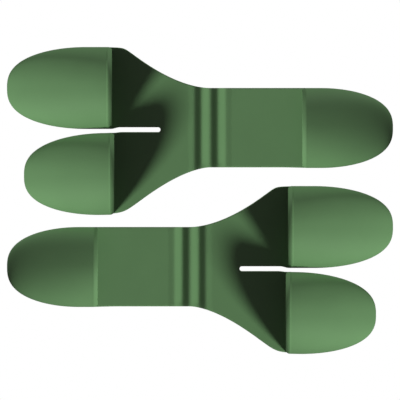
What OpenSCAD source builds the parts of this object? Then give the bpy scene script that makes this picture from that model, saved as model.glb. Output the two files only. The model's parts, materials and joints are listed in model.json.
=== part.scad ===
// Leaf grabber hands: a left and a right pinch mitt of soft elastomer, lying flat with the pockets up.
// Frame: millimetres, origin on the ground under the middle of the pair, +Z up.
// +X runs from the left mitt's fingertips to the tip of its thumb, +Y from the right mitt to the left one.

/* [Pair] */
// Fingertip to thumb tip of one mitt
hand_length = 254.8; // [235:0.1:275]
// Distance between the two mitts, pocket centre to pocket centre
hand_pitch = 91.75; // [86:0.05:120]

/* [Base sheet] */
// Thickness of the flat base sheet
sheet_t = 4; // [3:0.1:6]
// Width of the palm strip
strip_w = 52.4; // [46:0.1:56]
// Sideways offset of the palm strip towards the index finger
strip_shift = 2.1; // [0:0.1:4]
// Radius on the strip's upper edges
edge_r = 0.6; // [0.4:0.1:1.8]

/* [Finger pockets] */
// Outer width of one finger pocket
finger_w = 54.1; // [46:0.1:56]
// Distance between the two pockets' centre lines
finger_pitch = 56.6; // [56.2:0.1:62]
// Length of the index and middle finger pocket
index_depth = 69.3; // [58:0.1:80]
// Length of the ring and little finger pocket
ring_depth = 59.6; // [54:0.1:75]
// Height of the index and middle finger cover above the sheet
index_h = 36.5; // [28:0.5:38]
// Height of the ring and little finger cover above the sheet
ring_h = 35; // [26:0.5:38]
// Length over which a finger pocket rounds off to its tip
finger_round = 52; // [35:0.5:53]
// How far the ring and little finger pocket leans outwards, per millimetre towards its tip
ring_lean = 0.02; // [0:0.01:0.03]
// Width of the slit between the finger pockets
slit_w = 3.1; // [2:0.1:4]

/* [Thumb pocket] */
// Outer width of the thumb pocket
thumb_w = 52.8; // [46:0.1:56]
// Length of the thumb pocket
thumb_depth = 59.9; // [54:0.1:70]
// Height of the thumb cover above the sheet
thumb_h = 24; // [18:0.5:30]
// Length over which the thumb pocket rounds off to its tip
thumb_round = 47.5; // [35:0.5:53]
// Sideways offset of the thumb pocket towards the index finger
thumb_shift = 1.9; // [0:0.1:4]

/* [Pocket walls] */
// Wall thickness of the pocket covers
wall = 1.8; // [1.4:0.1:2.4]
// Width of the rounded-over rim round each pocket mouth
rim_w = 3; // [2:0.1:5]
// How far the rim falls away towards the mouth
rim_drop = 1.3; // [0.4:0.1:1.3]

/* [Folding grooves] */
// Distance between the two grooves
groove_pitch = 10.9; // [9:0.1:14]
// Thickness left at the bottom of a groove
web_t = 1.4; // [1:0.1:1.8]
// Height of the ribs beside the grooves above the sheet
rib_proud = 0.3; // [0:0.1:0.6]

/* [Hidden] */
// Places along the mitt, measured from its middle.
finger_tip_x = -hand_length / 2;
thumb_tip_x = hand_length / 2;
index_mouth_x = finger_tip_x + index_depth;
ring_mouth_x = index_mouth_x + 1.5;
ring_tip_x = ring_mouth_x - ring_depth;
thumb_mouth_x = thumb_tip_x - thumb_depth;
slit_end_x = index_mouth_x + 32;
flex_x = index_mouth_x + 17;
rib_x = index_mouth_x + 64.6;
groove_a_x = rib_x - groove_pitch / 2;
groove_b_x = rib_x + groove_pitch / 2;
// Places across the mitt, measured from the line midway between the finger pockets.
index_y = finger_pitch / 2;
ring_y = -finger_pitch / 2;
slit_y = 0.8;
slit_ease = 5;
strip_top_y = strip_shift + strip_w / 2;
strip_low_y = strip_shift - strip_w / 2;
finger_top_y = index_y + finger_w / 2;
finger_low_y = ring_y - finger_w / 2;
// The shoulder is where the wide finger sheet narrows to the palm strip.
shoulder_x = index_mouth_x + 8.3;
shoulder_length = 56.4;
top_power = 1.75;
top_ease = 0.05;
low_power = 1.6;
low_ease = 0.1;
// Shape of a pocket: how full it is in section and its tip in plan, and how its crest rises from the tip.
finger_arch = 2.3;
thumb_arch = 1.9;
tip_fullness = 2.6;
crest_power = 1.2;
crest_round = 0.68;
tip_start = 0.06;
stations = 20;
arc_steps = 20;
rim_steps = 5;
rim_curve = 1.5;
outline_steps = 16;
shoulder_steps = 20;
groove_steps = 12;
// Gaps between pieces that turn against each other.
bead_gap = 0.3;
web_r = web_t / 2;
web_shelf = 2;
rib_fade = 4;
flex_r = sheet_t / 2;

sheet_green = [0.10, 0.20, 0.09];
cover_green = [0.12, 0.23, 0.11];
rim_green = [0.15, 0.27, 0.13];
web_green = [0.08, 0.17, 0.07];

// Half width of a pocket, t back from its tip.
function half_width(t, w, l) = w / 2 * pow(1 - pow(1 - min(t, l) / l, 2), 1 / tip_fullness);

// Height of a pocket's crest, t back from its tip, on a pocket d long and h high.
function crest(t, d, h) = h * pow(1 - pow(1 - min(t, d) / d, crest_power), crest_round);

// How far the shoulder has drawn in at x, from 0 at the pockets to 1 at the palm strip.
function shoulder_run(x) = (x - shoulder_x) / shoulder_length;
function eased(u, ease) = min(1, (u + sqrt(u * u + ease * ease)) / 2);
function drawn_in(x, power, ease) = 1 - pow(1 - eased(shoulder_run(x), ease), power);
function top_edge(x) = finger_top_y - (finger_top_y - strip_top_y) * drawn_in(x, top_power, top_ease);
function low_edge(x) = finger_low_y - (finger_low_y - strip_low_y) * drawn_in(x, low_power, low_ease);

// Upper surface of the sheet across the grooves.
crest_z = sheet_t + rib_proud;
groove_depth = crest_z - web_t;
function ribbed_z(x) = web_t + groove_depth / 2 * (1 + cos(360 * (x - rib_x) / groove_pitch));

// Station i of n along a pocket, closer together near its tip.
function station(i, n, d) = tip_start + (d - tip_start) * (1 - cos(90 * i / n));

// Rounds a circle's coordinate off: fullness 2 keeps the circle, and more fills out its corners.
function bowed(v, fullness) = sign(v) * pow(abs(v), 2 / fullness);

// One arch across a pocket: points over the crest from the +Y foot to the -Y foot.
function arch(x, y, half, height, fullness) = [
    for (j = [0:arc_steps])
        let (a = 180 * j / arc_steps)
            [x, y + half * bowed(cos(a), fullness), sheet_t + height * bowed(sin(a), fullness)]
];

// Hollow cover of a pocket with its tip at x = 0 and its open mouth at x = d, lofted through arches.
module cover_shell(d, w, h, l, y, fullness, lean) {
    n = arc_steps + 1;
    inner_start = (stations + 1) * n;
    outer = [
        for (i = [0:stations])
            let (t = station(i, stations, d))
                each arch(t, y + lean * (t - d), half_width(t, w, l), crest(t, d, h), fullness)
    ];
    inner = [
        for (i = [0:stations])
            let (t = station(i, stations, d - wall), half = half_width(t, w - 2 * wall, l - wall))
                each arch(t + wall, y + lean * (t + wall - d), half, crest(t, d - wall, h - wall), fullness)
    ];
    outer_faces = [
        for (i = [0:stations - 1], j = [0:arc_steps - 1])
            let (p = i * n + j) each [[p, p + 1, p + n], [p + 1, p + n + 1, p + n]]
    ];
    inner_faces = [
        for (i = [0:stations - 1], j = [0:arc_steps - 1])
            let (p = inner_start + i * n + j) each [[p, p + n, p + 1], [p + 1, p + n, p + n + 1]]
    ];
    foot_faces = [
        for (i = [0:stations - 1])
            let (p = i * n, q = inner_start + i * n, e = arc_steps)
                each [
                    [p, p + n, q], [q, p + n, q + n],
                    [p + e, q + e, p + e + n], [q + e, q + e + n, p + e + n]
                ]
    ];
    tip_faces = [
        for (j = [1:arc_steps - 1])
            each [[0, j + 1, j], [inner_start, inner_start + j, inner_start + j + 1]]
    ];
    tip_foot_faces = [[0, inner_start, arc_steps], [inner_start, inner_start + arc_steps, arc_steps]];
    last = stations * n;
    mouth_faces = [
        for (j = [0:arc_steps - 1])
            let (p = last + j, q = inner_start + last + j) each [[p, p + 1, q], [p + 1, q + 1, q]]
    ];
    polyhedron(
        concat(outer, inner),
        concat(outer_faces, inner_faces, foot_faces, tip_faces, tip_foot_faces, mouth_faces),
        convexity = 6
    );
}

// Rim round a pocket's mouth, swept over the arch, with its mouth face at x = 0 and its body behind.
// Its outer surface carries the cover on and rounds over towards the mouth.
module mouth_rim(d, w, h, y, fullness) {
    profile = concat(
        [[-rim_w, -wall]],
        [for (k = [0:rim_steps]) let (s = k / rim_steps) [rim_w * (s - 1), -rim_drop * pow(s, rim_curve)]],
        [[0, -wall]]
    );
    n = len(profile);
    points = [
        for (j = [0:arc_steps], k = [0:n - 1])
            let (
                a = 180 * j / arc_steps,
                half = w / 2 + profile[k][1],
                height = crest(d + profile[k][0], d, h) + profile[k][1]
            )
                [
                    profile[k][0],
                    y + half * bowed(cos(a), fullness),
                    sheet_t + height * bowed(sin(a), fullness)
                ]
    ];
    skin = [
        for (j = [0:arc_steps - 1], k = [0:n - 1])
            let (p = j * n + k, q = j * n + (k + 1) % n) each [[p, p + n, q], [q, p + n, q + n]]
    ];
    first_end = [for (k = [1:n - 2]) [0, k, k + 1]];
    base = arc_steps * n;
    last_end = [for (k = [1:n - 2]) [base, base + k + 1, base + k]];
    polyhedron(points, concat(skin, first_end, last_end), convexity = 6);
}

// Cover cut off where the rim begins, so that the two meet face to face.
module pocket_cover(d, w, h, l, y, fullness, lean = 0) {
    intersection() {
        cover_shell(d, w, h, l, y, fullness, lean);
        translate([-1, y - w, 0])
            cube([d - rim_w + 1, 2 * w, 2 * h + sheet_t]);
    }
}

// Outline of a pocket's floor in plan, from its tip at x = 0 to x = l, as one side of half widths.
function tip_side(w, l, side) = [
    for (i = [0:outline_steps])
        let (t = l * (1 - cos(90 * i / outline_steps)))
            [t, side * half_width(t, w, l)]
];

// Plan of a finger pocket's floor: the outer side follows the shoulder, the inner side the slit.
module finger_floor_plan(tip_x, mouth_x, y, side) {
    lean = side > 0 ? 0 : ring_lean;
    depth = mouth_x - tip_x;
    rounded = tip_side(finger_w, finger_round, side);
    inner = tip_side(finger_w, finger_round, -side);
    outer_side = [for (p = rounded) [tip_x + p[0], y + lean * (p[0] - depth) + p[1]]];
    inner_side = [
        for (i = [len(inner) - 1:-1:1])
            let (p = inner[i]) [tip_x + p[0], y + lean * (p[0] - depth) + p[1]]
    ];
    from_x = tip_x + finger_round + 1;
    to_x = flex_x + 1;
    shoulder = [
        for (i = [0:shoulder_steps])
            let (x = from_x + (to_x - from_x) * i / shoulder_steps)
                [x, side > 0 ? top_edge(x) : low_edge(x)]
    ];
    slit_side = slit_y + side * slit_w / 2;
    pocket_side = y - side * finger_w / 2;
    slit_start = [[to_x, slit_side], [mouth_x + slit_ease, slit_side], [mouth_x, pocket_side]];
    polygon(concat(outer_side, shoulder, slit_start, inner_side));
}

// Floor of a finger pocket: sheet from the pocket's tip to the flex line, with a rounded root.
module finger_floor(tip_x, mouth_x, y, side) {
    intersection() {
        linear_extrude(sheet_t)
            finger_floor_plan(tip_x, mouth_x, y, side);
        union() {
            translate([tip_x - 1, finger_low_y - 2, -1])
                cube([flex_x - tip_x + 1, finger_top_y - finger_low_y + 4, sheet_t + 2]);
            translate([flex_x, 0, flex_r])
                rotate([90, 0, 0])
                    cylinder(h = 3 * finger_w, r = flex_r, center = true, $fn = 48);
        }
    }
}

// Plan of the palm sheet from the flex line to the first groove, with the end of the slit.
module palm_plan() {
    start_x = flex_x;
    end_x = groove_a_x;
    upper = [
        for (i = [0:shoulder_steps])
            let (x = start_x + (end_x - start_x) * i / shoulder_steps) [x, top_edge(x)]
    ];
    lower = [
        for (i = [shoulder_steps:-1:0])
            let (x = start_x + (end_x - start_x) * i / shoulder_steps) [x, low_edge(x)]
    ];
    difference() {
        polygon(concat(upper, lower));
        slit_plan();
    }
}

// Slit with a round end, open towards the fingertips.
module slit_plan() {
    end_r = slit_w / 2;
    translate([slit_end_x - end_r, slit_y])
        circle(r = end_r, $fn = 32);
    translate([flex_x - sheet_t, slit_y - end_r])
        square([slit_end_x - end_r - flex_x + sheet_t, slit_w]);
}

// Points of the ribbed surface between two places along the mitt.
function groove_side(from_x, to_x) = [
    for (i = [0:groove_steps])
        let (x = from_x + (to_x - from_x) * i / groove_steps) [x, ribbed_z(x)]
];

// Solid of a side view, extruded across the whole mitt.
module across(w) {
    translate([0, w / 2, 0])
        rotate([90, 0, 0])
            linear_extrude(w)
                children();
}

// Room for a web: a round channel along a groove.
module web_channel(x) {
    translate([x, 0, web_r])
        rotate([90, 0, 0])
            cylinder(h = 4 * strip_w, r = web_r + bead_gap, center = true, $fn = 40);
}

module palm() {
    span = 2 * (finger_top_y - finger_low_y);
    outer_rib_x = groove_a_x - groove_pitch / 2;
    difference() {
        intersection() {
            linear_extrude(crest_z + 1)
                palm_plan();
            across(span)
                polygon(concat(
                    [[flex_x, 0], [flex_x, sheet_t], [outer_rib_x - rib_fade, sheet_t]],
                    groove_side(outer_rib_x, groove_a_x),
                    [[groove_a_x, 0]]
                ));
        }
        translate([flex_x, 0, flex_r])
            rotate([90, 0, 0])
                cylinder(h = span, r = flex_r + bead_gap, center = true, $fn = 48);
        web_channel(groove_a_x);
    }
}

// Palm strip's cross-section: flat below, round along both upper edges.
module strip_section(height) {
    translate([strip_low_y, 0])
        square([strip_w, height - edge_r]);
    translate([strip_low_y + edge_r, 0])
        square([strip_w - 2 * edge_r, height]);
    for (y = [strip_low_y + edge_r, strip_top_y - edge_r])
        translate([y, height - edge_r])
            circle(r = edge_r, $fn = 32);
}

// Length of strip between two places along the mitt.
module strip(from_x, to_x) {
    translate([from_x, 0, 0])
        rotate([90, 0, 90])
            linear_extrude(to_x - from_x)
                strip_section(crest_z);
}

// Round bead at the bottom of a groove, with the thin shelf that ties it to the middle rib.
module web(x, towards) {
    translate([x, strip_shift, web_r])
        rotate([90, 0, 0])
            cylinder(h = strip_w - 2, r = web_r, center = true, $fn = 32);
    translate([min(x, x + towards * web_shelf), strip_low_y + 1, 0])
        cube([web_shelf, strip_w - 2, web_t]);
}

module hinge_rib() {
    intersection() {
        strip(groove_a_x + web_shelf, groove_b_x - web_shelf);
        across(4 * strip_w)
            polygon(concat(
                [[groove_a_x + web_shelf, 0]],
                groove_side(groove_a_x + web_shelf, groove_b_x - web_shelf),
                [[groove_b_x - web_shelf, 0]]
            ));
    }
}

// Plan of the thumb sheet: strip from the second groove, round end at the thumb's tip.
module thumb_plan() {
    upper = tip_side(thumb_w, thumb_round, 1);
    lower = tip_side(thumb_w, thumb_round, -1);
    top_side = [for (i = [len(upper) - 1:-1:0]) [thumb_tip_x - upper[i][0], thumb_shift + upper[i][1]]];
    low_side = [for (i = [1:len(lower) - 1]) [thumb_tip_x - lower[i][0], thumb_shift + lower[i][1]]];
    polygon(concat(
        [[groove_b_x, strip_top_y], [thumb_mouth_x - 2, strip_top_y]], top_side,
        low_side, [[thumb_mouth_x - 2, strip_low_y], [groove_b_x, strip_low_y]]
    ));
}

module thumb_sheet() {
    outer_rib_x = groove_b_x + groove_pitch / 2;
    difference() {
        intersection() {
            linear_extrude(crest_z + 1)
                thumb_plan();
            across(4 * strip_w)
                polygon(concat(
                    [[groove_b_x, 0]],
                    groove_side(groove_b_x, outer_rib_x),
                    [[outer_rib_x + rib_fade, sheet_t], [thumb_tip_x + 1, sheet_t]],
                    [[thumb_tip_x + 1, 0]]
                ));
        }
        web_channel(groove_b_x);
        strip_edge_cutters();
    }
}

// Rounds the upper edges of the thumb sheet's open stretch, between the grooves and the pocket's mouth.
module strip_edge_cutters() {
    from_x = groove_b_x - 1;
    to_x = thumb_mouth_x - rim_w;
    difference() {
        translate([from_x, strip_low_y - 1, 0])
            cube([to_x - from_x, strip_w + 2, sheet_t + rib_proud + 1]);
        strip(from_x - 1, to_x + 1);
        translate([from_x - 1, strip_low_y + edge_r, 0])
            cube([to_x - from_x + 2, strip_w - 2 * edge_r, 2 * sheet_t]);
    }
}

// Places a pocket that opens towards +X with its tip at tip_x.
module finger_pocket(tip_x) {
    translate([tip_x, 0, 0])
        children();
}

// Places a pocket that opens towards -X with its tip at the thumb's end.
module thumb_pocket() {
    translate([thumb_tip_x, 0, 0])
        mirror([1, 0, 0])
            children();
}

module left_hand() {
    translate([0, hand_pitch / 2, 0])
        children();
}

module right_hand() {
    translate([0, -hand_pitch / 2, 0])
        mirror([1, 0, 0])
            children();
}

module index_middle_floor() {
    finger_floor(finger_tip_x, index_mouth_x, index_y, 1);
}

module index_middle_cover() {
    finger_pocket(finger_tip_x)
        pocket_cover(index_depth, finger_w, index_h, finger_round, index_y, finger_arch);
}

module index_middle_rim() {
    translate([index_mouth_x, 0, 0])
        mouth_rim(index_depth, finger_w, index_h, index_y, finger_arch);
}

module ring_little_floor() {
    finger_floor(ring_tip_x, ring_mouth_x, ring_y, -1);
}

module ring_little_cover() {
    finger_pocket(ring_tip_x)
        pocket_cover(ring_depth, finger_w, ring_h, finger_round, ring_y, finger_arch, ring_lean);
}

module ring_little_rim() {
    translate([ring_mouth_x, 0, 0])
        mouth_rim(ring_depth, finger_w, ring_h, ring_y, finger_arch);
}

module thumb_cover() {
    thumb_pocket()
        pocket_cover(thumb_depth, thumb_w, thumb_h, thumb_round, thumb_shift, thumb_arch);
}

module thumb_rim() {
    translate([thumb_mouth_x, 0, 0])
        mirror([1, 0, 0])
            mouth_rim(thumb_depth, thumb_w, thumb_h, thumb_shift, thumb_arch);
}

module left_palm() color(sheet_green) left_hand() palm();
module left_index_middle_floor() color(sheet_green) left_hand() index_middle_floor();
module left_index_middle_cover() color(cover_green) left_hand() index_middle_cover();
module left_index_middle_rim() color(rim_green) left_hand() index_middle_rim();
module left_ring_little_floor() color(sheet_green) left_hand() ring_little_floor();
module left_ring_little_cover() color(cover_green) left_hand() ring_little_cover();
module left_ring_little_rim() color(rim_green) left_hand() ring_little_rim();
module left_finger_side_web() color(web_green) left_hand() web(groove_a_x, 1);
module left_hinge_rib() color(sheet_green) left_hand() hinge_rib();
module left_thumb_side_web() color(web_green) left_hand() web(groove_b_x, -1);
module left_thumb_sheet() color(sheet_green) left_hand() thumb_sheet();
module left_thumb_cover() color(cover_green) left_hand() thumb_cover();
module left_thumb_rim() color(rim_green) left_hand() thumb_rim();

module right_palm() color(sheet_green) right_hand() palm();
module right_index_middle_floor() color(sheet_green) right_hand() index_middle_floor();
module right_index_middle_cover() color(cover_green) right_hand() index_middle_cover();
module right_index_middle_rim() color(rim_green) right_hand() index_middle_rim();
module right_ring_little_floor() color(sheet_green) right_hand() ring_little_floor();
module right_ring_little_cover() color(cover_green) right_hand() ring_little_cover();
module right_ring_little_rim() color(rim_green) right_hand() ring_little_rim();
module right_finger_side_web() color(web_green) right_hand() web(groove_a_x, 1);
module right_hinge_rib() color(sheet_green) right_hand() hinge_rib();
module right_thumb_side_web() color(web_green) right_hand() web(groove_b_x, -1);
module right_thumb_sheet() color(sheet_green) right_hand() thumb_sheet();
module right_thumb_cover() color(cover_green) right_hand() thumb_cover();
module right_thumb_rim() color(rim_green) right_hand() thumb_rim();

left_palm();
left_index_middle_floor();
left_index_middle_cover();
left_index_middle_rim();
left_ring_little_floor();
left_ring_little_cover();
left_ring_little_rim();
left_finger_side_web();
left_hinge_rib();
left_thumb_side_web();
left_thumb_sheet();
left_thumb_cover();
left_thumb_rim();
right_palm();
right_index_middle_floor();
right_index_middle_cover();
right_index_middle_rim();
right_ring_little_floor();
right_ring_little_cover();
right_ring_little_rim();
right_finger_side_web();
right_hinge_rib();
right_thumb_side_web();
right_thumb_sheet();
right_thumb_cover();
right_thumb_rim();
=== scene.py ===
import json
import math

import bpy
import numpy as np
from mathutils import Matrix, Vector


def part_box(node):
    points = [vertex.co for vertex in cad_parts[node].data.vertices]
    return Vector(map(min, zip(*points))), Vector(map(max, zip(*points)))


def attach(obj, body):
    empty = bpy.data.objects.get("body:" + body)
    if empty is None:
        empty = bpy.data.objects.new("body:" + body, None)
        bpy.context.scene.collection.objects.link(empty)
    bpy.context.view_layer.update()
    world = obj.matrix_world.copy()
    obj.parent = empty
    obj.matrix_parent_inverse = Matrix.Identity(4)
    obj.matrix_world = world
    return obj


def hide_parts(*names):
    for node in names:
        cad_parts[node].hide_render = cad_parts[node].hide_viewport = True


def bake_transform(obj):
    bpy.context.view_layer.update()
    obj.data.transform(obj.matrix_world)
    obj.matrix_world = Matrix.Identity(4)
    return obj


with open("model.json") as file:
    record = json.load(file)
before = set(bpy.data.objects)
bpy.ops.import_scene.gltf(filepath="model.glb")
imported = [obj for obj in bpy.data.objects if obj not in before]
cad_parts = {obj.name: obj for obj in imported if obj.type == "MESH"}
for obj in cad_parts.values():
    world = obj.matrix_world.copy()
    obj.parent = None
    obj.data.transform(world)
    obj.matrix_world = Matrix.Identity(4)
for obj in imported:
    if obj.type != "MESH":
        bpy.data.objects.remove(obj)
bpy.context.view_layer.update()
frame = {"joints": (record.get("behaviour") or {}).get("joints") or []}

# ---------------------------------------------------------------- sizes, in millimetres
MM = 0.001
SHEET_T = 4.0          # thickness of the base sheet
EDGE_R = 0.6           # rounding of the palm's upper edges
SLIT_R = 0.5           # rounding of the slit's upper edges
FOOT_R = 0.35          # rounding of the sheet's edge under a dome
LOW_R = 0.55           # rounding of the sheet's lower edges
WALL = 1.8             # wall of the domes
INDEX_H = 36.5         # crest of the index and middle finger dome above the sheet
RING_H = 35.0          # crest of the ring and little finger dome above the sheet
THUMB_H = 24.0         # crest of the thumb dome above the sheet
FINGER_ROUND = 52.0    # length over which a finger pocket rounds off in plan
THUMB_ROUND = 47.5     # the same for the thumb pocket
TIP_FULLNESS = 2.6     # how full the round tips are in plan; 2 is an ellipse
FINGER_ARCH = 2.3      # how full the finger domes are in section; 2 is an ellipse
THUMB_ARCH = 1.9       # the same for the thumb dome
FINGER_PITCH = 56.6    # between the centre lines of the finger pockets
RING_LEAN = 0.02       # how the ring and little finger pocket leans outwards, towards its tip
CREST_POWER = 1.2      # how a dome's crest levels off towards its mouth
CREST_ROUND = 0.68     # how a dome's crest rounds down to its tip
LIP_W = 3.0            # width of the rounded-over lip round a pocket's mouth
LIP_DROP = 1.3         # how far the lip falls away towards the mouth
LIP_CURVE = 1.5        # power of the lip's rounding
FINGER_STEP = 0.34     # height of the lip above the dome, where it begins
THUMB_STEP = 0.04      # the same on the thumb pocket
WEB_T = 1.4            # sheet left at the bottom of a groove
RIB_PROUD = 0.3        # height of the ribs above the sheet
RIB_FADE = 4.0         # length over which the outer ribs fade into the sheet
FOLD_HALF = 3.5        # half length of the piece that bends at a groove
GROOVE_END = 0.8       # how much of a groove's depth is left where it runs out of the low edge
GROOVE_FADE = (0.2, 3.2)        # where that depth starts and stops to change, in from the low edge
SLIT_W = 3.1
SLIT_Y = 0.8           # the slit's centre line, up from midway between the finger pockets
SLIT_LENGTH = 32.0     # from the index pocket's mouth to the slit's end
SLIT_EASE = (-0.5, 5)  # where a pocket's side turns into the slit's side, from the pocket's mouth
SHOULDER_START = 8.3   # from the index pocket's mouth to where the sheet starts to draw in
SHOULDER_LENGTH = 56.4
TOP_SHOULDER = (1.75, 0.05)     # power and ease of the index side's shoulder
LOW_SHOULDER = (1.6, 0.10)      # the same on the little finger's side
THUMB_EASE = (-14, 8)  # where the strip widens to the thumb pocket, from the pocket's mouth
OPEN_EASE = (-1, 5)    # where the sheet's edge becomes fully rounded, from the index pocket's mouth
SHUT_EASE = (-4, 1)    # where it stops being so, from the thumb pocket's mouth
TIP_START = 0.02       # first station of a dome, in from its tip
TIP_ANGLE = 0.02       # first station round a base's tip, as an angle
LIP_FOOT = 0.75        # how far the lip's step runs out over the dome
SHARP_ANGLE = 50       # edges that turn by more than this are creased
EDGE_STEPS = [0.0, 0.06, 0.2, 0.45, 0.8, 1.2, 1.7, 2.4]   # distances from an edge where it is rounded


# ---------------------------------------------------------------- shape formulas
def half_width(t, width, length):
    """Half the width of a pocket in plan, t in from its tip."""
    u = 1 - np.minimum(t, length) / length
    return width / 2 * (1 - u ** 2) ** (1 / TIP_FULLNESS)


def crest(t, depth, height):
    """Height of a dome's crest above the sheet, t in from its tip."""
    u = 1 - np.minimum(t, depth) / depth
    return height * (1 - u ** CREST_POWER) ** CREST_ROUND


def smoothstep(x, a, b):
    u = np.clip((x - a) / (b - a), 0, 1)
    return u * u * (3 - 2 * u)


class Hand:
    """One mitt's places, read from the frame, in local millimetres with the fingers towards -X."""

    def __init__(self, side):
        self.side = side
        self.m = 1 if side == "left" else -1
        cover = self.span("index_middle_cover", 1)
        self.finger_w = np.ptp(cover)
        self.index_y, self.ring_y = FINGER_PITCH / 2, -FINGER_PITCH / 2
        self.y0 = np.mean(cover) - self.index_y
        self.top_y = self.index_y + self.finger_w / 2
        self.low_y = self.ring_y - self.finger_w / 2
        self.thumb_w = np.ptp(self.span("thumb_cover", 1))
        self.thumb_y = np.mean(self.span("thumb_cover", 1)) - self.y0
        strip = self.span("hinge_rib", 1)
        self.strip_low, self.strip_top = strip[0] - self.y0, strip[1] - self.y0
        self.strip_y = (self.strip_low + self.strip_top) / 2
        self.index_tip = self.local_x("index_middle_floor")[0]
        self.ring_tip = self.local_x("ring_little_floor")[0]
        self.index_mouth = self.local_x("index_middle_cover")[1] + LIP_W
        self.ring_mouth = self.local_x("ring_little_cover")[1] + LIP_W
        self.thumb_tip = self.local_x("thumb_sheet")[1]
        self.thumb_mouth = self.local_x("thumb_cover")[0] - LIP_W
        joints = {j["name"]: j for j in frame["joints"]}
        self.groove_a = self.m * joints[side + "_fold_finger_side"]["pos_m"][0] / MM
        self.groove_b = self.m * joints[side + "_fold_thumb_side"]["pos_m"][0] / MM
        self.rib_x = (self.groove_a + self.groove_b) / 2
        self.pitch = self.groove_b - self.groove_a
        self.slit_end = self.index_mouth + SLIT_LENGTH
        self.shoulder_x = self.index_mouth + SHOULDER_START
        self.outer, self.slit = self.outlines()

    def span(self, node, axis):
        low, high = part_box(self.side + "_" + node)
        return np.array([low[axis], high[axis]]) / MM

    def local_x(self, node):
        return np.sort(self.m * self.span(node, 0))

    def place(self, x, y, z):
        return (self.m * x * MM, (y + self.y0) * MM, z * MM)

    # Edges of the sheet in plan.
    def drawn_in(self, x, power, ease):
        """0 beside the pockets and 1 along the palm strip."""
        u = (x - self.shoulder_x) / SHOULDER_LENGTH
        u = np.minimum(1, (u + np.sqrt(u * u + ease ** 2)) / 2)
        return 1 - (1 - u) ** power

    def top_edge(self, x):
        return self.top_y - (self.top_y - self.strip_top) * self.drawn_in(x, *TOP_SHOULDER)

    def low_edge(self, x):
        edge = self.low_y - (self.low_y - self.strip_low) * self.drawn_in(x, *LOW_SHOULDER)
        return edge + self.lean(x, -1)

    def lean(self, x, side):
        """How far a finger pocket's centre line has shifted at x; only the ring side leans."""
        return RING_LEAN * np.minimum(x - self.ring_mouth, 0) if side < 0 else 0.0 * x

    def at_thumb(self, x):
        """0 along the palm and 1 at the thumb pocket, where the strip widens a little."""
        return smoothstep(x, *(self.thumb_mouth + np.array(THUMB_EASE)))

    def strip_top_edge(self, x):
        k = self.at_thumb(x)
        return self.top_edge(x) * (1 - k) + (self.thumb_y + self.thumb_w / 2) * k

    def strip_low_edge(self, x):
        k = self.at_thumb(x)
        return self.low_edge(x) * (1 - k) + (self.thumb_y - self.thumb_w / 2) * k

    def outer_side(self, x, tip, y, side):
        """Outer edge of a finger pocket's base, and of the shoulder behind it."""
        t = x - tip
        round_end = y + self.lean(x, side) + side * half_width(t, self.finger_w, FINGER_ROUND)
        return np.where(t < FINGER_ROUND, round_end, self.top_edge(x) if side > 0 else self.low_edge(x))

    def inner_side(self, x, tip, mouth, y, side):
        """Edge of a finger pocket's base along the slit, closing round the slit's end."""
        t = x - tip
        pocket = y + self.lean(x, side) - side * half_width(t, self.finger_w, FINGER_ROUND)
        r = SLIT_W / 2
        past = np.clip(x - (self.slit_end - r), 0, r)
        slit = SLIT_Y + side * np.sqrt(np.maximum(r * r - past * past, 0))
        k = smoothstep(x, *(mouth + np.array(SLIT_EASE)))
        return pocket * (1 - k) + slit * k

    def outlines(self):
        """Dense outlines of the sheet: its outer edge, and the slit between the finger pockets."""
        bend = 1 - np.cos(np.linspace(0, math.pi / 2, 120))
        t, tt = FINGER_ROUND * bend, THUMB_ROUND * bend[::-1]
        it, rt = self.index_tip + t, self.ring_tip + t
        xs_i = np.arange(it[-1], self.thumb_tip - THUMB_ROUND, 0.5)
        xs_r = np.arange(rt[-1], self.thumb_tip - THUMB_ROUND, 0.5)
        hw = half_width(t, self.finger_w, FINGER_ROUND)
        thw = half_width(tt, self.thumb_w, THUMB_ROUND)
        tt = self.thumb_tip - tt
        upper = np.concatenate([
            np.c_[it[::-1], self.index_y - hw[::-1]], np.c_[it, self.index_y + hw],
            np.c_[xs_i, self.strip_top_edge(xs_i)], np.c_[tt, self.thumb_y + thw]])
        ring_y = self.ring_y + self.lean(rt, -1)
        lower = np.concatenate([
            np.c_[rt[::-1], (ring_y + hw)[::-1]], np.c_[rt, ring_y - hw],
            np.c_[xs_r, self.strip_low_edge(xs_r)], np.c_[tt, self.thumb_y - thw]])
        xi = np.linspace(it[-1], self.slit_end, 200)
        xr = np.linspace(rt[-1], self.slit_end, 200)
        inner_i = np.c_[xi, self.inner_side(xi, self.index_tip, self.index_mouth, self.index_y, 1)]
        inner_r = np.c_[xr, self.inner_side(xr, self.ring_tip, self.ring_mouth, self.ring_y, -1)]
        return [upper, lower], [inner_i, inner_r]

    def top_z(self, x, y):
        """Upper surface of the sheet: flat, ribbed across the grooves, round along its edges."""
        reach = np.abs(x - self.rib_x) - self.pitch
        ribs = SHEET_T + RIB_PROUD * (1 - smoothstep(reach, 0, RIB_FADE))
        wave = (1 - np.cos(2 * math.pi * (x - self.rib_x) / self.pitch)) / 2
        inward = smoothstep(y - self.strip_low_edge(x), *GROOVE_FADE)
        depth = (SHEET_T + RIB_PROUD - WEB_T) * (GROOVE_END + (1 - GROOVE_END) * inward)
        groove = np.where(reach < 0, depth * wave, 0)
        open_palm = smoothstep(x, *(self.index_mouth + np.array(OPEN_EASE)))
        open_palm = open_palm * (1 - smoothstep(x, *(self.thumb_mouth + np.array(SHUT_EASE))))
        r = FOOT_R + (EDGE_R - FOOT_R) * open_palm
        r_slit = FOOT_R + (SLIT_R - FOOT_R) * open_palm
        edge = edge_drop(distance(x, y, self.outer), r)
        slit = edge_drop(distance(x, y, self.slit), r_slit)
        return ribs - (groove ** 3 + edge ** 3 + slit ** 3) ** (1 / 3)

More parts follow.
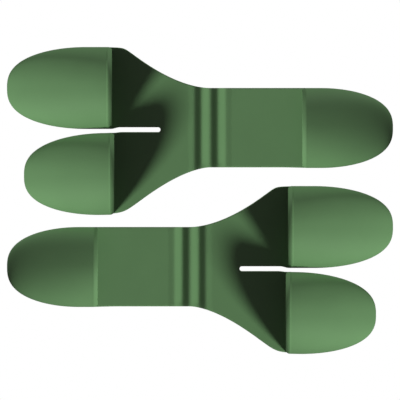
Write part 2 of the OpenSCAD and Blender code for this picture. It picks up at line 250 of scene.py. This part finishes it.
    def low_z(self, x, y):
        """Lower surface of the sheet: flat on the ground, round along its edges."""
        d = distance(x, y, self.outer + self.slit)
        return edge_drop(d, np.full_like(d, LOW_R))


def edge_drop(d, r):
    """How far a rounded edge of radius r has fallen away, d in from the edge."""
    return r - np.sqrt(np.maximum(r * r - np.maximum(r - d, 0) ** 2, 0))


def distance(x, y, lines):
    """Least distance from points to polylines."""
    p = np.c_[np.ravel(x), np.ravel(y)]
    best = np.full(len(p), 1e9)
    for line in lines:
        a, b = line[:-1], line[1:]
        ab = b - a
        keep = (ab ** 2).sum(1) > 1e-12
        a, ab = a[keep], ab[keep]
        for i in range(0, len(p), 2000):
            q = p[i:i + 2000, None, :] - a[None]
            u = np.clip((q * ab).sum(2) / (ab ** 2).sum(1), 0, 1)
            near = q - u[..., None] * ab[None]
            best[i:i + 2000] = np.minimum(best[i:i + 2000], np.sqrt((near ** 2).sum(2)).min(1))
    return best.reshape(np.shape(x))


# ---------------------------------------------------------------- mesh building
def build(name, hand, points, faces):
    """A closed mesh from local points; mirrored for the right hand, with its faces turned to match."""
    verts = [hand.place(*p) for p in points]
    if hand.m < 0:
        faces = [tuple(reversed(f)) for f in faces]
    mesh = bpy.data.meshes.new(name)
    mesh.from_pydata(verts, [], faces)
    mesh.validate()
    mesh.update()
    mesh.set_sharp_from_angle(angle=math.radians(SHARP_ANGLE))
    obj = bpy.data.objects.new(name, mesh)
    bpy.context.scene.collection.objects.link(obj)
    return obj


def spread(low, high, inner=14):
    """Places across the sheet from low to high, closer together along both edges."""
    width = high - low
    steps = np.array(EDGE_STEPS) * min(1.0, 0.3 * width / EDGE_STEPS[-1])
    middle = np.linspace(low + steps[-1], high - steps[-1], inner + 2)[1:-1]
    return np.concatenate([low + steps, middle, high - steps[::-1]])


def sheet_solid(name, hand, xs, rows):
    """Solid between the sheet's upper and lower surfaces. rows(x) gives the places across at x."""
    ys = np.array([rows(x) for x in xs])
    nx, ny = ys.shape
    X = np.repeat(np.array(xs)[:, None], ny, 1)
    top, low = hand.top_z(X, ys), hand.low_z(X, ys)
    walls = 2
    loops = []
    for i in range(nx):
        x = xs[i]
        loop = [(x, ys[i, j], top[i, j]) for j in range(ny)]
        for k in range(1, walls + 1):
            loop.append((x, ys[i, -1], top[i, -1] + (low[i, -1] - top[i, -1]) * k / (walls + 1)))
        loop += [(x, ys[i, j], low[i, j]) for j in range(ny - 1, -1, -1)]
        for k in range(1, walls + 1):
            loop.append((x, ys[i, 0], low[i, 0] + (top[i, 0] - low[i, 0]) * k / (walls + 1)))
        loops.append(loop)
    n = len(loops[0])
    points = [p for loop in loops for p in loop]
    faces = [(i * n + j, i * n + (j + 1) % n, (i + 1) * n + (j + 1) % n, (i + 1) * n + j)
             for i in range(nx - 1) for j in range(n)]
    faces = [tuple(reversed(f)) for f in faces]
    for i, turn in ((0, 1), (nx - 1, -1)):
        for j in range(ny - 1):
            a, b = i * n + j, i * n + j + 1
            c, d = i * n + (2 * ny - 2 - j + walls), i * n + (2 * ny - 1 - j + walls)
            faces.append((a, b, c, d)[::turn])
        right = [i * n + ny - 1 + k for k in range(walls + 2)]
        left = [i * n + 2 * ny - 1 + walls + k for k in range(walls + 1)] + [i * n]
        faces += [tuple(edge)[::-turn] for edge in (right, left)]
    return build(name, hand, points, faces)


def tip_stations(tip, towards, length, count=44):
    a = np.linspace(TIP_ANGLE, math.pi / 2, count)
    return tip + towards * length * (1 - np.cos(a))


# Distances from the slit's end where the sheet is cut across, closer together near it.
NEAR_SLIT_END = [0.0, 0.08, 0.2, 0.35, 0.55, 0.8, 1.1, 1.4, 1.8, 2.3]


def finger_base(hand, name, tip, mouth, y, side):
    xs = np.concatenate([
        tip_stations(tip, 1, FINGER_ROUND), np.arange(tip + FINGER_ROUND + 1.5, hand.slit_end - 5, 1.2)])
    near = hand.slit_end - np.array(NEAR_SLIT_END + [2.9, 3.6, 4.4])[::-1]
    xs = np.concatenate([xs, near])

    def rows(x):
        outer = float(hand.outer_side(x, tip, y, side))
        inner = float(hand.inner_side(x, tip, mouth, y, side))
        return spread(min(outer, inner), max(outer, inner))

    return sheet_solid(hand.side + "_" + name, hand, xs, rows)


def palm(hand):
    near = hand.slit_end + np.array(NEAR_SLIT_END + [3.0])
    end = hand.groove_a - FOLD_HALF
    xs = np.concatenate([near, np.linspace(hand.slit_end + 4, end, 36)])

    def rows(x):
        low = spread(float(hand.low_edge(x)), SLIT_Y)
        high = spread(SLIT_Y, float(hand.top_edge(x)))
        return np.concatenate([low, high[1:]])

    return sheet_solid(hand.side + "_palm_sheet", hand, xs, rows)


def strip_rows(hand):
    def rows(x):
        t = hand.thumb_tip - x
        if t < THUMB_ROUND:
            half = float(half_width(t, hand.thumb_w, THUMB_ROUND))
            return spread(hand.thumb_y - half, hand.thumb_y + half, 30)
        return spread(float(hand.strip_low_edge(x)), float(hand.strip_top_edge(x)), 30)
    return rows


def fold(hand, name, x):
    xs = np.linspace(x - FOLD_HALF, x + FOLD_HALF, 57)
    return sheet_solid(hand.side + "_" + name, hand, xs, strip_rows(hand))


def middle_rib(hand):
    xs = np.linspace(hand.groove_a + FOLD_HALF, hand.groove_b - FOLD_HALF, 33)
    return sheet_solid(hand.side + "_middle_rib", hand, xs, strip_rows(hand))


def thumb_base(hand):
    start = hand.groove_b + FOLD_HALF
    xs = np.concatenate([
        np.linspace(start, start + 14, 57), np.arange(start + 15, hand.thumb_tip - THUMB_ROUND - 0.6, 1.2),
        tip_stations(hand.thumb_tip, -1, THUMB_ROUND)[::-1]])
    return sheet_solid(hand.side + "_thumb_sheet_base", hand, xs, strip_rows(hand))


def arch(a, fullness):
    """Point of a unit arch at angle a from its foot: across, and up."""
    c, s = math.cos(a), math.sin(a)
    return math.copysign(abs(c) ** (2 / fullness), c), abs(s) ** (2 / fullness)


def dome(hand, name, tip, towards, depth, width, height, length, y, fullness, side=0):
    """Hollow dome of a pocket: outer and inner shells, joined along the foot and round the mouth."""
    m, n = 56, 72
    under_lip = 0.4
    end = depth - LIP_W + under_lip
    a = np.linspace(0, math.pi, n + 1)
    bend = 1 - np.cos(np.linspace(0, math.pi / 2, m + 1))
    t_out = TIP_START + (end - TIP_START) * bend
    t_in = TIP_START + (end - WALL - TIP_START) * bend
    unit = [arch(k, fullness) for k in a]
    points = []
    for t in t_out:
        h, w = crest(t, depth, height), half_width(t, width, length)
        x = tip + towards * t
        middle = y + float(hand.lean(x, side))
        points += [(x, middle + w * c, SHEET_T + h * s) for c, s in unit]
    for t in t_in:
        h = crest(t, depth - WALL, height - WALL)
        w = half_width(t, width - 2 * WALL, length - WALL)
        x = tip + towards * (t + WALL)
        middle = y + float(hand.lean(x, side))
        points += [(x, middle + w * c, SHEET_T + h * s) for c, s in unit]
    q = (m + 1) * (n + 1)
    row = n + 1
    faces = []
    for i in range(m):
        for j in range(n):
            p = i * row + j
            faces.append((p, p + 1, p + row + 1, p + row))
            faces.append((q + p, q + p + row, q + p + row + 1, q + p + 1))
    for i in range(m):
        p = i * row
        faces.append((p, p + row, q + p + row, q + p))
        faces.append((p + n, q + p + n, q + p + row + n, p + row + n))
    faces += [tuple(range(n, -1, -1)), tuple(range(q, q + n + 1)), (0, q, q + n, n)]
    last = m * row
    for j in range(n):
        faces.append((last + j, last + j + 1, q + last + j + 1, q + last + j))
    if towards > 0:
        faces = [tuple(reversed(f)) for f in faces]
    return build(hand.side + "_" + name, hand, points, faces)


def lip_profile(step, steps=18):
    """Section of the lip: along the pocket from its mouth, and out from the dome's surface.

    It has a rounded nose at the mouth, rises to the step, and dips under the dome's surface behind it."""
    back = WALL + 0.05
    out = [(0, 0.15 - back), (0, -LIP_DROP - 0.3), (0.05, -LIP_DROP - 0.12)]
    for k in range(steps + 1):
        u = 0.06 + 0.94 * k / steps
        out.append((LIP_W * u, step - (LIP_DROP + step) * (1 - u) ** LIP_CURVE))
    foot = LIP_W + LIP_FOOT
    return out + [(LIP_W + 0.3, step * 0.55), (foot, -0.06), (foot, -0.4), (LIP_W, -back), (0.15, -back)]


def lip(hand, name, mouth, towards, depth, width, height, y, fullness, step):
    """Lip swept over the arch of a pocket's mouth, and rounded over towards it."""
    n = 120
    profile = lip_profile(step)
    k = len(profile)
    points = []
    for j in range(n + 1):
        across, up = arch(math.pi * j / n, fullness)
        for along, out in profile:
            w = width / 2 + (out if out < 0 else out * up)
            h = crest(depth - along, depth, height) + out
            points.append((mouth - towards * along, y + w * across, SHEET_T + h * up))
    faces = [(j * k + i, j * k + (i + 1) % k, (j + 1) * k + (i + 1) % k, (j + 1) * k + i)
             for j in range(n) for i in range(k)]
    faces += [tuple(range(k - 1, -1, -1)), tuple(n * k + i for i in range(k))]
    if towards < 0:
        faces = [tuple(reversed(f)) for f in faces]
    return build(hand.side + "_" + name, hand, points, faces)


# ---------------------------------------------------------------- materials
def elastomer(name, tint, rough=0.62, grain=0.5):
    """Matte moulded elastomer: faint mottling, fine moulding grain, paler rubbed edges."""
    mat = bpy.data.materials.new(name)
    mat.use_nodes = True
    tree = mat.node_tree
    node, link = tree.nodes.new, tree.links.new
    bsdf = next(n for n in tree.nodes if n.type == "BSDF_PRINCIPLED")
    coord = node("ShaderNodeTexCoord")

    def noise(scale, detail):
        n = node("ShaderNodeTexNoise")
        n.inputs["Scale"].default_value = scale
        n.inputs["Detail"].default_value = detail
        link(coord.outputs["Object"], n.inputs["Vector"])
        return n

    def spread_to(source, low, high):
        r = node("ShaderNodeMapRange")
        r.inputs["From Min"].default_value = 0.3
        r.inputs["From Max"].default_value = 0.7
        r.inputs["To Min"].default_value = low
        r.inputs["To Max"].default_value = high
        link(source, r.inputs["Value"])
        return r.outputs["Result"]

    cloud = noise(38, 3)
    grit = noise(1700, 2)
    shade = node("ShaderNodeHueSaturation")
    shade.inputs["Color"].default_value = (*tint, 1)
    link(spread_to(cloud.outputs["Fac"], 0.975, 1.025), shade.inputs["Value"])
    geometry = node("ShaderNodeNewGeometry")
    rub = node("ShaderNodeMapRange")
    rub.inputs["From Min"].default_value = 0.53
    rub.inputs["From Max"].default_value = 0.62
    rub.inputs["To Max"].default_value = 0.10
    link(geometry.outputs["Pointiness"], rub.inputs["Value"])
    worn = node("ShaderNodeMix")
    worn.data_type = "RGBA"
    worn.inputs["B"].default_value = (0.20, 0.33, 0.17, 1)
    link(rub.outputs["Result"], worn.inputs["Factor"])
    link(shade.outputs["Color"], worn.inputs["A"])
    link(worn.outputs["Result"], bsdf.inputs["Base Color"])
    link(spread_to(cloud.outputs["Fac"], rough - 0.04, rough + 0.05), bsdf.inputs["Roughness"])
    bump = node("ShaderNodeBump")
    bump.inputs["Strength"].default_value = 0.10 * grain
    bump.inputs["Distance"].default_value = 0.0002
    link(grit.outputs["Fac"], bump.inputs["Height"])
    link(bump.outputs["Normal"], bsdf.inputs["Normal"])
    bsdf.inputs["Specular IOR Level"].default_value = 0.03
    return mat


GREEN = (0.0965, 0.196, 0.0830)
SKIN = {
    "sheet": elastomer("sheet_elastomer", GREEN),
    "cover": elastomer("dome_elastomer", GREEN),
    "rim": elastomer("lip_elastomer", GREEN, rough=0.58),
    "web": elastomer("fold_elastomer", GREEN, rough=0.66),
}


def finish_piece(obj, slot, nodes):
    obj.data.materials.append(SKIN[slot])
    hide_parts(*nodes)
    return obj


# ---------------------------------------------------------------- the two mitts
def make_hand(side):
    h = Hand(side)
    pieces = []

    def keep(obj, slot, node):
        pieces.append(finish_piece(obj, slot, [side + "_" + node]))
        return obj

    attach(keep(palm(h), "sheet", "palm"), side + "_palm")
    for name, tip, mouth, y, way, high in (
            ("index_middle", h.index_tip, h.index_mouth, h.index_y, 1, INDEX_H),
            ("ring_little", h.ring_tip, h.ring_mouth, h.ring_y, -1, RING_H)):
        body = side + "_" + name + "_pocket"
        base = keep(finger_base(h, name + "_base", tip, mouth, y, way), "sheet", name + "_floor")
        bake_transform(base)
        cover = dome(h, name + "_dome", tip, 1, mouth - tip, h.finger_w, high, FINGER_ROUND, y,
                     FINGER_ARCH, way)
        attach(keep(cover, "cover", name + "_cover"), body)
        edge = lip(h, name + "_lip", mouth, 1, mouth - tip, h.finger_w, high, y, FINGER_ARCH, FINGER_STEP)
        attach(keep(edge, "rim", name + "_rim"), body)
    rib, thumb = side + "_hinge_rib", side + "_thumb_pocket"
    first = keep(fold(h, "finger_side_fold", h.groove_a), "web", "finger_side_web")
    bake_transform(first)
    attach(keep(middle_rib(h), "sheet", "hinge_rib"), rib)
    second = keep(fold(h, "thumb_side_fold", h.groove_b), "web", "thumb_side_web")
    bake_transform(second)
    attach(keep(thumb_base(h), "sheet", "thumb_sheet"), thumb)
    depth = h.thumb_tip - h.thumb_mouth
    cover = dome(h, "thumb_dome", h.thumb_tip, -1, depth, h.thumb_w, THUMB_H, THUMB_ROUND, h.thumb_y,
                 THUMB_ARCH)
    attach(keep(cover, "cover", "thumb_cover"), thumb)
    edge = lip(h, "thumb_lip", h.thumb_mouth, -1, depth, h.thumb_w, THUMB_H, h.thumb_y, THUMB_ARCH, THUMB_STEP)
    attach(keep(edge, "rim", "thumb_rim"), thumb)
    return pieces


hands = {side: make_hand(side) for side in ("left", "right")}

# ---------------------------------------------------------------- studio
FLOOR_Z = -0.14        # low enough that the mitts can fold in their poses
KEY_STRENGTH = 4.72
FILL_STRENGTH = 2.3
SKY = 0.14
SKY_COLOUR = (1.15, 0.86, 1.15, 1)      # a little less green than the key light, as in open shade
BOUNCE = 0.16          # light that the floor throws up at the mitts
LAMPS = (              # name, azimuth for the left and the right mitt, elevation, angular size, strength
    ("key", (225, 315), 29.0, 13, KEY_STRENGTH),
    ("fill", (70, 110), -6, 20, FILL_STRENGTH),
)


def glow(name, shown, felt):
    """Surface that the camera sees at one brightness and that lights the mitts at another."""
    mat = bpy.data.materials.new(name)
    mat.use_nodes = True
    tree = mat.node_tree
    tree.nodes.clear()
    out = tree.nodes.new("ShaderNodeOutputMaterial")
    emit = tree.nodes.new("ShaderNodeEmission")
    level(tree, emit.inputs["Strength"], shown, felt)
    tree.links.new(emit.outputs["Emission"], out.inputs["Surface"])
    return mat


def level(tree, socket, shown, felt):
    """Sets a brightness that differs between the camera and the mitts; gives back what tells them apart."""
    path = tree.nodes.new("ShaderNodeLightPath")
    mix = tree.nodes.new("ShaderNodeMapRange")
    mix.inputs["To Min"].default_value = felt
    mix.inputs["To Max"].default_value = shown
    tree.links.new(path.outputs["Is Camera Ray"], mix.inputs["Value"])
    tree.links.new(mix.outputs["Result"], socket)
    return path.outputs["Is Camera Ray"]


size = 3.0
plate = bpy.data.meshes.new("floor")
corners = [(-size, -size), (size, -size), (size, size), (-size, size)]
plate.from_pydata([(x, y, FLOOR_Z) for x, y in corners], [], [(0, 1, 2, 3)])
floor = bpy.data.objects.new("floor", plate)
bpy.context.scene.collection.objects.link(floor)
plate.materials.append(glow("pale_floor", 1.0, BOUNCE))

world = bpy.data.worlds.new("studio")
bpy.context.scene.world = world
world.use_nodes = True
background = world.node_tree.nodes["Background"]
tint = world.node_tree.nodes.new("ShaderNodeMix")
tint.data_type = "RGBA"
tint.inputs["A"].default_value = SKY_COLOUR
tint.inputs["B"].default_value = (1, 1, 1, 1)
world.node_tree.links.new(level(world.node_tree, background.inputs["Strength"], 1.0, SKY), tint.inputs["Factor"])
world.node_tree.links.new(tint.outputs["Result"], background.inputs["Color"])

for number, side in enumerate(("left", "right")):
    lit = bpy.data.collections.new(side + "_lit")
    for obj in hands[side]:
        lit.objects.link(obj)
    for name, azimuths, elevation, angle, strength in LAMPS:
        lamp = bpy.data.lights.new(side + "_" + name, "SUN")
        lamp.energy = strength
        lamp.angle = math.radians(angle)
        lamp.use_shadow = name == "key"
        obj = bpy.data.objects.new(side + "_" + name, lamp)
        bpy.context.scene.collection.objects.link(obj)
        obj.rotation_euler = (math.radians(90 - elevation), 0, math.radians(azimuths[number] + 90))
        obj.light_linking.receiver_collection = lit
        obj.light_linking.blocker_collection = lit

camera_data = bpy.data.cameras.new("camera")
camera_data.type = "ORTHO"
camera_data.ortho_scale = 0.264
camera = bpy.data.objects.new("camera", camera_data)
camera.location = (0, 0.00025, 1.2)
bpy.context.scene.collection.objects.link(camera)
bpy.context.scene.camera = camera
bpy.context.scene.view_settings.view_transform = "Standard"
